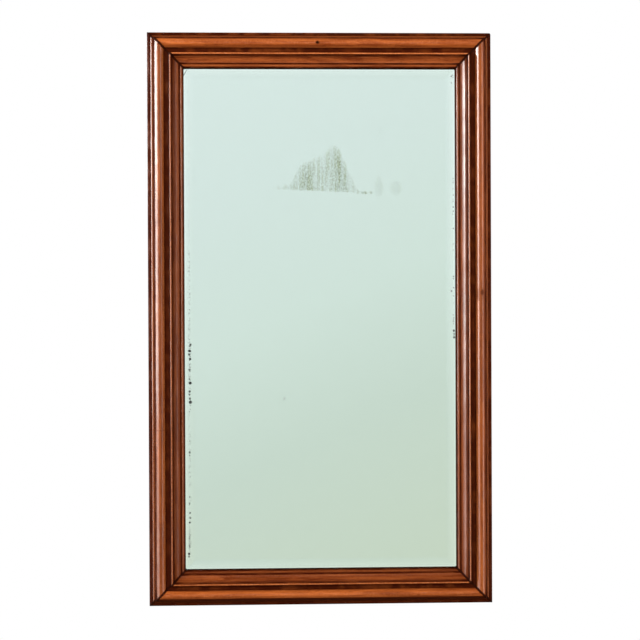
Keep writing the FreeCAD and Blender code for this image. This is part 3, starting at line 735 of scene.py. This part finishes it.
# The patch, in millimetres: from the middle of the plate to its left end, its width, its
# height at 100 percent, where its foot is and how far that falls for each millimetre across.
# Then its outline: places across and the heights in percent.
PATCH_REACH = 110
PATCH_WIDTH = 200
PATCH_HEIGHT = 104
PATCH_FOOT = 287.2
PATCH_FALL = 0.042
PATCH_OUTLINE = ((-105, 4), (-85, 8), (-70, 12), (-63, 19), (-55, 36), (-44, 54), (-25, 64),
                 (-5, 73), (15, 85), (27, 99), (38, 99), (45, 87), (54, 70), (66, 43), (80, 17),
                 (89, 2))

# Dark specks in the silver, in millimetres: across, up, their two half sizes and how dark
LARGE_SPECKS = (
    (-292.4, -57, 2.4, 2.8, 0.8), (-293.8, -60, 1.9, 2.4, 0.7), (-294.4, -71, 3.5, 2.7, 1.0),
    (-295.4, -79, 2.3, 2.8, 0.8), (-293.4, -89, 2.5, 2.9, 1.0), (-294.8, -113, 2.7, 2.8, 0.6),
    (-295.0, -134, 1.8, 2.4, 0.5), (-293.4, -143, 3.3, 3.2, 1.0), (-294.8, -162, 2.5, 2.6, 0.8),
    (-295.2, -169, 2.1, 2.2, 0.7), (-294.2, -178, 2.4, 2.6, 0.75), (-293.2, -186, 3.4, 3.5, 1.0),
    (-295.0, -435, 2.2, 2.2, 0.65), (-294.8, -446, 2.3, 2.3, 0.6), (-295.6, -456.5, 2.4, 2.4, 0.7),
    (-295.2, -299, 2.1, 2.5, 0.65), (-295.2, -306, 1.6, 2.0, 0.4), (-295.6, -399, 1.6, 2.6, 0.35),
    (-296.0, -414, 1.7, 3.0, 0.4), (-296.2, -491, 1.8, 6, 0.35), (-296.4, -509, 2.0, 4, 0.45),
    (-297.6, -527, 2.5, 2.6, 0.95), (-297.8, -533, 2.0, 2.2, 0.6), (301.2, -28, 2.3, 2.7, 0.8),
    (301.8, -35.5, 2.0, 2.2, 0.5), (301.6, -43, 2.3, 2.5, 0.7), (296.0, 61.5, 1.8, 2.4, 0.35),
)
SPECK_SOFTNESS = 0.3

# Chains of finer specks inside the left and the right edge, in millimetres: the line, half the
# width, and its runs, each from one height to another with its share of specks and how dark
LEFT_CHAIN = (-294, 2.6, ((-215, -48, 0.6, 0.65), (-524, -470, 0.5, 0.4),
                          (-425, -215, 0.3, 0.3), (-48, 150, 0.5, 0.45)))
RIGHT_CHAIN = (300, 3, ((-50, 320, 0.3, 0.5), (530, 556, 0.5, 0.8)))
CHAIN_RIM = 0.3

# The streak in the top left corner: its height in millimetres, and how much it leans
STREAK_UP = 551
STREAK_LEAN = 0.53


def plate_finish():
    finish, tree, shader = new_finish("plate_glass")
    feed_all(tree, shader, {"Base Color": (0.955, 0.988, 0.98, 1), "Roughness": 0, "IOR": 1.52,
                            "Transmission Weight": 1})
    return finish


def silvering_finish():
    """Old silver: foxed along the upright edges, with a hill-shaped patch where it has lifted."""
    finish, tree, shader = new_finish("old_silvering")
    place = object_place(tree)
    across, _, up = split(tree, place)
    grit = noise(tree, stretched(tree, place, (520, 520, 330)), 1, 2, 0.6)
    speckle = noise(tree, stretched(tree, place, (300, 300, 210)), 1, 2, 0.6)
    mid = noise(tree, place, 210, 4, 0.6)
    broad = noise(tree, place, 38, 3, 0.55)
    columns = noise(tree, stretched(tree, place, (150, 150, 12)), 1, 2, 0.5)

    def spot(*sizes):
        return oval(tree, across, up, *sizes)

    def distance_from(coordinate, middle):
        return absolute(tree, less(tree, coordinate, middle))

    # Patch: its height over a foot that falls slightly to the right, then its texture
    outline = add(tree, "ShaderNodeValToRGB", {"Fac": maths(
        tree, "DIVIDE", total(tree, across, PATCH_REACH * MM), PATCH_WIDTH * MM)})
    slope = outline.color_ramp.elements
    slope[0].position, slope[1].position = 0, 1
    slope[0].color = slope[1].color = grey(0)
    for side_place, percent in PATCH_OUTLINE:
        slope.new((side_place + PATCH_REACH) / PATCH_WIDTH).color = grey(percent / 100)
    hill = outline.outputs["Color"]
    foot = less(tree, total(tree, up, times(tree, across, PATCH_FALL)), PATCH_FOOT * MM)
    ragged = less(tree, total(tree, times(tree, mid, 0.4), times(tree, columns, 0.6)), 0.5)
    below_top = less(tree, times(tree, hill, PATCH_HEIGHT * MM), foot)
    mound = times(
        tree, spread(tree, hill, 0.01, 0.06),
        spread(tree, total(tree, below_top, times(tree, ragged, 30 * MM)), -5 * MM, 8 * MM),
        spread(tree, total(tree, foot, times(tree, ragged, 8 * MM)), -1 * MM, 3 * MM))
    ridges = highest(tree, spot(-30, 300, 13, 90, 0.8), spot(45, 310, 13, 100, 0.8))
    thick = total(tree, 0.2, times(tree, spread(tree, columns, 0.35, 0.65), 0.36),
                  times(tree, ridges, 0.25))
    thin_top = spread(tree, below_top, -5 * MM, 35 * MM, 0.45, 1)
    dashes = times(tree, spot(101, 284, 18, 3.4, 0.5), spread(tree, mid, 0.40, 0.55), 0.7)
    faint = highest(tree, times(tree, spot(133, 297, 9, 20, 0.5), 0.15),
                    times(tree, spot(172, 294, 12, 15, 0.4), 0.14))
    patch = times(tree, highest(tree, times(tree, mound, thick, thin_top), dashes, faint),
                  spread(tree, speckle, 0.38, 0.60, 0.45, 1.2), clamp=True)

    # Foxing: large round specks one by one, then finer ones in a chain inside each upright edge
    large_specks = highest(tree, *(times(tree, spot(*sizes, SPECK_SOFTNESS), level)
                                   for *sizes, level in LARGE_SPECKS))
    cells = add(tree, "ShaderNodeTexVoronoi", {
        "Vector": add(tree, "ShaderNodeCombineXYZ", {"X": across, "Y": up}).outputs[0],
        "Scale": 210, "Randomness": 0.85}, voronoi_dimensions="2D")
    centre_across, centre_up, _ = split(tree, cells.outputs["Position"])
    lots = add(tree, "ShaderNodeSeparateColor", {0: cells.outputs["Color"]})
    chance, girth, depth = lots.outputs
    girth = total(tree, times(tree, girth, 0.2), 0.2)
    speck = spread(tree, maths(tree, "DIVIDE", cells.outputs["Distance"], girth), 0.6, 1.2, 1, 0)

    def chain(middle, half, runs):
        """Specks whose middles lie near a line, with a share of them dark in each run."""
        near = spread(tree, distance_from(centre_across, middle * MM), half * MM,
                      (half + CHAIN_RIM) * MM, 1, 0)
        inside = [times(tree, maths(tree, "GREATER_THAN", centre_up, low * MM),
                        maths(tree, "LESS_THAN", centre_up, high * MM),
                        maths(tree, "LESS_THAN", chance, share), level)
                  for low, high, share, level in runs]
        return times(tree, near, highest(tree, *inside))

    fine_specks = times(tree, highest(tree, chain(*LEFT_CHAIN), chain(*RIGHT_CHAIN)), speck,
                        spread(tree, depth, 0, 0.7, 0.4, 1))
    haze = times(tree, spread(tree, distance_from(across, -295 * MM), 1 * MM, 4.5 * MM, 1, 0),
                 spread(tree, distance_from(up, -140 * MM), 100 * MM, 400 * MM, 1, 0.3),
                 spread(tree, mid, 0.45, 0.7), 0.22)
    smear = times(tree, spot(-296.5, -495, 1.6, 28, 0.6), 0.22)
    stray = times(tree, highest(tree, spot(-87, -180, 7, 10, 0.5), spot(134, 425, 10, 8, 0.5)),
                  spread(tree, grit, 0.60, 0.68, 0, 0.4))
    leaning = less(tree, across, times(tree, less(tree, up, STREAK_UP * MM), STREAK_LEAN))
    corner_streak = times(tree, oval(tree, leaning, up, -302.8, STREAK_UP, 1.2, 9, 0.5), 0.4)
    foxing = highest(tree, large_specks, fine_specks, haze, smear, stray, corner_streak)

    # Painted reflection: the silver is made paler towards the sight edge, under the thin ground
    # bevel
    from_edge = maths(tree, "MINIMUM", less(tree, SIGHT_HALF_WIDTH, absolute(tree, across)),
                      less(tree, SIGHT_HALF_HEIGHT, absolute(tree, up)))
    pale = total(tree, spread(tree, from_edge, 3 * MM, 5.5 * MM, 0.6, 0),
                 spread(tree, from_edge, 6 * MM, 22 * MM, 0.4, 0), clamp=True)
    veil = times(tree, spread(tree, broad, 0.3, 0.7), 0.04)
    stained = tint(tree, spread(tree, columns, 0.42, 0.60), STAIN_GREY, STAIN_GREEN)
    behind = facing_back(tree)
    colour = tint(tree, veil, SILVER, SILVER_VEILED)
    colour = tint(tree, pale, colour, SILVER_EDGE_REFLECTION)
    colour = tint(tree, patch, colour, stained)
    colour = tint(tree, foxing, colour, FOXED)
    colour = tint(tree, behind, colour, BACKING_PAINT)
    dull = highest(tree, times(tree, patch, 0.3), foxing, behind)
    feed_all(tree, shader, {"Base Color": colour, "Metallic": less(tree, 1, dull),
                            "Roughness": times(tree, dull, 0.6)})
    return finish


finish_with(plate, plate_finish())
finish_node("silvering", silvering_finish())


# Finishes of the back

UPRIGHT = (0, math.radians(90), 0)
DIAGONAL = (0, math.radians(45), 0)
PINE_PALE = (0.52, 0.33, 0.17, 1)
PINE_DARK = (0.30, 0.165, 0.075, 1)
PANEL_PALE = (0.56, 0.365, 0.19, 1)
PANEL_DARK = (0.34, 0.19, 0.09, 1)
KEY_PALE = (0.40, 0.24, 0.12, 1)
KEY_DARK = (0.20, 0.105, 0.05, 1)
BLOCK_PALE = (0.62, 0.46, 0.27, 1)
BLOCK_DARK = (0.42, 0.27, 0.13, 1)
BACK_GRIME = (0.10, 0.058, 0.03, 1)
STRAP_GREY = (0.27, 0.25, 0.225, 1)
RING_GREY = (0.33, 0.31, 0.285, 1)
SCREW_GREY = (0.22, 0.20, 0.18, 1)

STILES = ("back_stile_left", "back_stile_right")
RAILS = ("back_rail_top", "back_rail_middle", "back_rail_bottom")
PANELS = ("back_panel_upper", "back_panel_lower")
EASED_WIDTH = 0.5 * MM
EASED_ABOVE_DEGREES = 50


def plain_wood(name, pale, dark, turn=(0, 0, 0), shift=(0, 0, 0), mirrored=False):
    """Unpolished wood, its length along X after the turn."""
    finish, tree, shader = new_finish(name)
    place = object_place(tree)
    if mirrored:
        place = add(tree, "ShaderNodeVectorMath", {0: place}, operation="ABSOLUTE").outputs[0]
    place = stretched(tree, place, shift=shift, turn=turn)
    grain = place_group(tree, wood_grain, {"Place": place, "Pale": pale, "Dark": dark,
                                           "Figure": 0.7, "Streak": 0.5, "Pores": 0.2})
    grime = times(tree, spread(tree, noise(tree, place, 9, 4), 0.4, 0.75), 0.45)
    feed_all(tree, shader, {
        "Base Color": tint(tree, grime, grain["Colour"], BACK_GRIME),
        "Roughness": spread(tree, grain["Shade"], 0, 1, 0.62, 0.8),
        "Normal": bumped(tree, grain["Height"], 0.4, 0.3 * MM), "Specular IOR Level": 0.3})
    return finish


def steel_finish(name, clean, amount, roughness):
    finish, tree, shader = new_finish(name)
    bloom = place_group(tree, steel_bloom, {"Place": object_place(tree), "Clean": clean,
                                            "Amount": amount})
    feed_all(tree, shader, {
        "Base Color": bloom["Colour"], "Metallic": less(tree, 1, bloom["Bloom"]),
        "Roughness": total(tree, times(tree, bloom["Bloom"], 0.4), roughness),
        "Normal": bumped(tree, bloom["Height"], 0.3, 0.1 * MM)})
    return finish


def ease_edges(name):
    """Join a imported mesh's loose triangles and take the sharpness off its edges."""
    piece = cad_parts[name]
    joining = piece.modifiers.new("joined", "WELD")
    joining.merge_threshold = SAME_PLACE
    easing = piece.modifiers.new("eased", "BEVEL")
    easing.limit_method = "ANGLE"
    easing.angle_limit = math.radians(EASED_ABOVE_DEGREES)
    easing.width = EASED_WIDTH
    easing.segments = 2


for index, name in enumerate(STILES):
    finish_node(name, plain_wood(f"stile_pine_{index}", PINE_PALE, PINE_DARK, UPRIGHT,
                                 (0.4 + index, 0.8, 0.2)))
for index, name in enumerate(RAILS):
    finish_node(name, plain_wood(f"rail_pine_{index}", PINE_PALE, PINE_DARK,
                                 shift=(0.9 + index, 0.3, 0.6 * index)))
for index, name in enumerate(PANELS):
    finish_node(name, plain_wood(f"panel_pine_{index}", PANEL_PALE, PANEL_DARK, UPRIGHT,
                                 (0.2, 1.1 + index, 0.5)))
finish_node("mitre_keys", plain_wood("key_beech", KEY_PALE, KEY_DARK, DIAGONAL, mirrored=True))
finish_node("glass_blocks", plain_wood("block_softwood", BLOCK_PALE, BLOCK_DARK))

for name in STILES + RAILS + PANELS:
    ease_edges(name)

strap_steel = steel_finish("strap_steel", STRAP_GREY, 0.8, 0.46)
ring_steel = steel_finish("ring_steel", RING_GREY, 0.6, 0.38)
screw_steel = steel_finish("screw_steel", SCREW_GREY, 0.8, 0.48)
for name in ("hanger_strap_left", "hanger_strap_right"):
    finish_node(name, strap_steel)
for name in ("hanger_ring_left", "hanger_ring_right"):
    finish_node(name, ring_steel)
for name in ("back_screws", "hanger_screws"):
    finish_node(name, screw_steel)


# Studio: a pale floor well below the hung mirror, a white surround and soft lamps

FLOOR_DROP = 1.4
FLOOR_HALF_WIDTH = 30
FLOOR_PALE = (0.86, 0.86, 0.85, 1)
WHITE = (1, 1, 1, 1)
# What the plate shows, from the lower right to the upper left, and where the shades lie
PLATE_SHADES = ((0.755, 0.800, 0.660, 1), (0.765, 0.835, 0.755, 1), (0.850, 0.925, 0.875, 1),
                (0.885, 0.950, 0.930, 1), (0.940, 1.0, 0.995, 1))
PLATE_SHADE_PLACES = (0.3, 0.5, 0.7)
AMBIENT_LOW = (0.10, 0.098, 0.095, 1)
AMBIENT_HIGH = (0.22, 0.217, 0.214, 1)
LAMP_WHITE = (1, 0.98, 0.95)


def floor_finish():
    """Pale near the mirror, where it keeps a shadow, and white further out."""
    finish, tree, shader = new_finish("pale_floor")
    feed_all(tree, shader, {"Base Color": FLOOR_PALE, "Roughness": 0.8})
    distance = add(tree, "ShaderNodeVectorMath", {0: object_place(tree)},
                   operation="LENGTH").outputs["Value"]
    seen = add(tree, "ShaderNodeLightPath").outputs["Is Camera Ray"]
    white = add(tree, "ShaderNodeEmission", {"Color": WHITE, "Strength": 1}).outputs[0]
    share = times(tree, seen, spread(tree, distance, 0.6, 2.6, 0.35, 1))
    mixed = add(tree, "ShaderNodeMixShader", {0: share, 1: shader.outputs[0], 2: white})
    feed(tree, tree.nodes["Material Output"].inputs["Surface"], mixed.outputs[0])
    return finish


def make_floor():
    shape = bmesh.new()
    bmesh.ops.create_grid(shape, x_segments=1, y_segments=1, size=FLOOR_HALF_WIDTH)
    bmesh.ops.translate(shape, vec=(0, 0, -FLOOR_DROP), verts=shape.verts)
    floor = new_object("floor", shape)
    finish_with(floor, floor_finish())
    floor.visible_transmission = False
    floor.visible_glossy = False
    floor.visible_diffuse = False


def make_surround():
    """White to the eye. The plate is shown soft tones: cool and bright at the upper left, warmer
    and darker at the lower right."""
    world = bpy.data.worlds.new("studio")
    scene.world = world
    world.use_nodes = True
    tree = world.node_tree
    across, ahead, up = split(tree, add(tree, "ShaderNodeTexCoord").outputs["Generated"])
    light_path = add(tree, "ShaderNodeLightPath").outputs
    fall = less(tree, up, times(tree, across, 0.45))
    mirrored = add(tree, "ShaderNodeValToRGB", {
        "Fac": spread(tree, fall, -0.3, 0.3, smooth=False)})
    shades = mirrored.color_ramp.elements
    shades[0].color, shades[1].color = PLATE_SHADES[0], PLATE_SHADES[-1]
    for place, shade in zip(PLATE_SHADE_PLACES, PLATE_SHADES[1:-1]):
        shades.new(place).color = shade
    glint = highest(tree, spread(tree, ahead, 0.05, 0.65, 0, 0.85),
                    spread(tree, absolute(tree, across), 0.08, 0.6, 0.02, 0.75))
    glossy = add(tree, "ShaderNodeCombineColor", {0: glint, 1: glint, 2: glint}).outputs[0]
    ambient = tint(tree, spread(tree, up, -0.7, 0.7), AMBIENT_LOW, AMBIENT_HIGH)
    colour = tint(tree, light_path["Is Glossy Ray"], ambient, glossy)
    colour = tint(tree, light_path["Is Transmission Ray"], colour, mirrored.outputs["Color"])
    colour = tint(tree, light_path["Is Camera Ray"], colour, WHITE)
    feed(tree, tree.nodes["Background"].inputs["Color"], colour)


def make_lamp(name, place, aim, size, watts, colour=LAMP_WHITE, glossy=True, diffuse=True,
              shows_on=None):
    light = bpy.data.lights.new(name, "AREA")
    light.shape = "RECTANGLE"
    light.size, light.size_y = size
    light.energy = watts
    light.color = colour
    lamp = bpy.data.objects.new(name, light)
    scene.collection.objects.link(lamp)
    lamp.location = place
    lamp.rotation_euler = (Vector(aim) - Vector(place)).to_track_quat("-Z", "Y").to_euler()
    lamp.visible_glossy = glossy
    lamp.visible_diffuse = diffuse
    lamp.visible_transmission = False
    if shows_on:
        lamp.light_linking.receiver_collection = shows_on


make_floor()
make_surround()
uprights = bpy.data.collections.new("uprights")
for side in ("left", "right"):
    uprights.objects.link(outer_lengths[side])
    uprights.objects.link(slip_lengths[side])
# The gleams stand for one tall light, dimmer towards the floor, that only shows on the polish
# of the left and the right side
for name, height, tall, watts, fore_watts in (("upper", 1.25, 1.3, 260, 128),
                                              ("middle", 0.1, 1.0, 105, 58),
                                              ("lower", -0.9, 1.0, 30, 20)):
    make_lamp(f"gleam_{name}", (-2.6, -0.85, height), (0, 0.35, height), (1.43, tall), watts,
              diffuse=False, shows_on=uprights)
    make_lamp(f"fore_gleam_{name}", (-1.91, -2.02, height), (-0.37, -0.045, height),
              (1.39, tall), fore_watts, diffuse=False, shows_on=uprights)
make_lamp("gleam_right", (2.6, -2.5, 0), (0.2, 0, 0), (0.7, 3.2), 42, diffuse=False,
          shows_on=uprights)
make_lamp("daylight_left", (-2.2, -1.6, 0.8), (0, 0, 0.1), (1.5, 2.0), 30, (1, 0.97, 0.93),
          glossy=False)
make_lamp("daylight_right", (2.6, -0.9, 0.5), (0, 0, 0), (0.8, 1.8), 10, (1, 0.97, 0.94),
          glossy=False)
make_lamp("daylight_front", (0, -3.3, 0.5), (0, 0, 0), (2.2, 1.2), 124, glossy=False)
for index, across in enumerate((-1, 1)):
    make_lamp(f"lamp_beside_{index}", (across * 2.5, 0.7, 0.5), (0, 0.1, 0), (0.9, 1.4), 24,
              glossy=False)
make_lamp("lamp_behind", (-0.9, 2.7, 1.2), (0, 0, 0), (1.4, 1.4), 85)


# Camera, from the lines of the frame in the photograph

CAMERA_PLACE = (-66.9 * MM, -2500 * MM, 10.1 * MM)
CAMERA_YAW = -0.02648
CAMERA_PITCH = -0.00512
CAMERA_ROLL = 0.00408
SENSOR_WIDTH = 36
FOCAL_PIXELS = 1100.6
IMAGE_PIXELS = 640

camera_data = bpy.data.cameras.new("camera")
camera_data.sensor_width = SENSOR_WIDTH
camera_data.lens = FOCAL_PIXELS * SENSOR_WIDTH / IMAGE_PIXELS
camera = bpy.data.objects.new("camera", camera_data)
scene.collection.objects.link(camera)
look = (Matrix.Rotation(CAMERA_YAW, 4, "Z") @ Matrix.Rotation(CAMERA_PITCH, 4, "X")
        @ Matrix.Rotation(CAMERA_ROLL, 4, "Y") @ Matrix.Rotation(math.radians(90), 4, "X"))
camera.matrix_world = Matrix.Translation(CAMERA_PLACE) @ look
scene.camera = camera

scene.view_settings.view_transform = "Standard"
